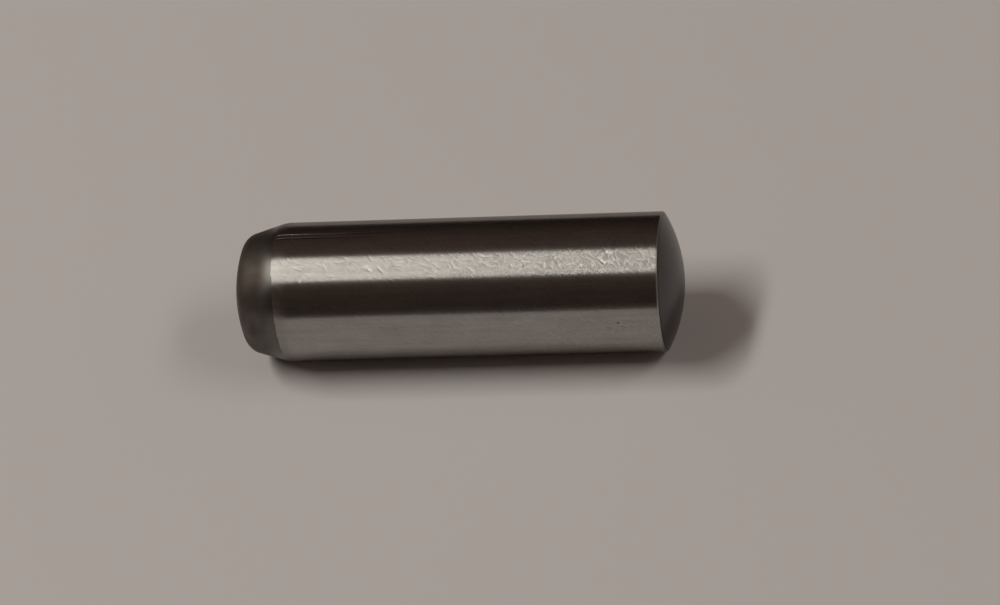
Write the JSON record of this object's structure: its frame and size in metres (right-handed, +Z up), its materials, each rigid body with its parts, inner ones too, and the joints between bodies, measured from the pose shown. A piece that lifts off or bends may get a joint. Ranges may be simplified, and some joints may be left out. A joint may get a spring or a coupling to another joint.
{
  "type": "dowel pin",
  "caption": "Hardened steel dowel pin: ground parallel cylinder, tapered and domed at the lead end, crowned at the driven end, pressed into reamed holes to locate parts.",
  "frame": {"origin": "on the pin's axis, midway along the parallel body", "axes": "+X along the axis towards the crowned end, -X towards the tapered lead end, +Z up with the pin lying on its side"},
  "size_m": [0.0194, 0.006, 0.006],
  "materials": {
    "ground_steel": "hardened steel, ground and tumbled bright on the body, darker satin on the unground ends"
  },
  "bodies": {
    "root": {"dowel_pin": "ground_steel"}
  },
  "joints": []
}
